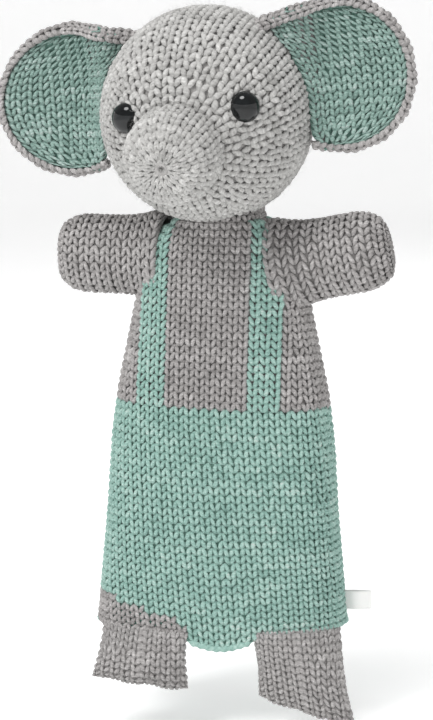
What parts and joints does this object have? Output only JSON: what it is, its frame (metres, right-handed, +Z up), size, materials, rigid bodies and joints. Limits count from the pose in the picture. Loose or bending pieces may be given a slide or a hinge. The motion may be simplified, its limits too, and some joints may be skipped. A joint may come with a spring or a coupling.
{
  "type": "hand puppet",
  "caption": "Knitted elephant glove puppet with a padded head, hinged ears, finger sleeves for arms, and small hanging feet.",
  "frame": {"origin": "middle of the hand opening in the plane of the hem", "axes": "+Z up through the body to the head, -Y the way the puppet faces, +X the puppet's own left side"},
  "size_m": [0.1749, 0.1038, 0.3042],
  "materials": {
    "grey_knit": "marled warm grey knitted yarn, matt with a light fuzz",
    "pale_knit": "paler grey knitted yarn, matt with a light fuzz",
    "mint_knit": "variegated mint knitted yarn, matt with a light fuzz",
    "grey_yarn": "plied grey yarn",
    "pale_yarn": "plied pale grey yarn",
    "mint_yarn": "plied mint yarn",
    "stuffing": "loose polyester filling",
    "black_eye": "polished black plastic dome",
    "white_plastic": "moulded white plastic",
    "white_ribbon": "white satin ribbon"
  },
  "bodies": {
    "torso": {"front_trousers": "mint_knit", "back_trousers": "mint_knit", "front_shirt": "grey_knit", "back_shirt": "grey_knit", "left_side_seam": "mint_yarn", "right_side_seam": "mint_yarn", "side_label": "white_ribbon"},
    "neck": {"neck_band": "grey_knit"},
    "neck_ring": {"neck_tie_yarn": "grey_yarn"},
    "head": {"head_cover": "pale_knit", "trunk_gathering_yarn": "pale_yarn", "head_stuffing": "stuffing", "finger_tube": "grey_knit", "left_eye": "black_eye", "right_eye": "black_eye", "left_eye_washer": "white_plastic", "right_eye_washer": "white_plastic"},
    "left_ear": {"left_ear_back": "grey_knit", "left_ear_lining": "mint_knit"},
    "right_ear": {"right_ear_back": "grey_knit", "right_ear_lining": "mint_knit"},
    "left_arm": {"left_sleeve": "grey_knit"},
    "right_arm": {"right_sleeve": "grey_knit"},
    "left_hand": {"left_hand": "grey_knit"},
    "right_hand": {"right_hand": "grey_knit"},
    "left_foot": {"left_foot_cover": "grey_knit", "left_foot_stuffing": "stuffing"},
    "right_foot": {"right_foot_cover": "grey_knit", "right_foot_stuffing": "stuffing"}
  },
  "joints": [
    {"name": "neck_tilt", "type": "hinge", "parent": "torso", "child": "neck", "pos_m": [0, 0, 0.173], "axis": [0, 1, 0], "range_deg": [-12, 12], "stiffness_Nm_per_rad": 0.35},
    {"name": "neck_turn", "type": "hinge", "parent": "neck", "child": "neck_ring", "pos_m": [0, 0, 0.173], "axis": [0, 0, 1], "range_deg": [-35, 35], "stiffness_Nm_per_rad": 0.12},
    {"name": "head_nod", "type": "hinge", "parent": "neck_ring", "child": "head", "pos_m": [0, 0, 0.173], "axis": [1, 0, 0], "range_deg": [-18, 15], "stiffness_Nm_per_rad": 0.35},
    {"name": "left_ear_flap", "type": "hinge", "parent": "head", "child": "left_ear", "pos_m": [0.03824, -0.00468, 0.23428], "axis": [-0.3617, -0.0316, 0.9317], "range_deg": [-20, 20], "stiffness_Nm_per_rad": 0.012},
    {"name": "right_ear_flap", "type": "hinge", "parent": "head", "child": "right_ear", "pos_m": [-0.04872, -0.01229, 0.2251], "axis": [0.1608, 0.0141, 0.9869], "range_deg": [-20, 20], "stiffness_Nm_per_rad": 0.012},
    {"name": "left_arm_lift", "type": "hinge", "parent": "torso", "child": "left_arm", "pos_m": [0.037, 0, 0.157], "axis": [0, 1, 0], "range_deg": [-23, 42], "stiffness_Nm_per_rad": 0.05},
    {"name": "right_arm_lift", "type": "hinge", "parent": "torso", "child": "right_arm", "pos_m": [-0.037, 0, 0.157], "axis": [0, 1, 0], "range_deg": [-30, 35], "stiffness_Nm_per_rad": 0.05},
    {"name": "left_hand_curl", "type": "hinge", "parent": "left_arm", "child": "left_hand", "pos_m": [0.05559, 0, 0.16095], "axis": [0.2079, 0, -0.9781], "range_deg": [-15, 35], "stiffness_Nm_per_rad": 0.02},
    {"name": "right_hand_curl", "type": "hinge", "parent": "right_arm", "child": "right_hand", "pos_m": [-0.056, 0, 0.157], "axis": [0, 0, 1], "range_deg": [-15, 35], "stiffness_Nm_per_rad": 0.02},
    {"name": "left_foot_swing", "type": "hinge", "parent": "torso", "child": "left_foot", "pos_m": [0.03804, -0.01656, -0.0005], "axis": [0.9613, 0.2756, 0], "range_deg": [-30, 30]},
    {"name": "right_foot_swing", "type": "hinge", "parent": "torso", "child": "right_foot", "pos_m": [-0.02348, -0.0342, -0.0005], "axis": [0.9613, 0.2756, 0], "range_deg": [-30, 30]}
  ]
}
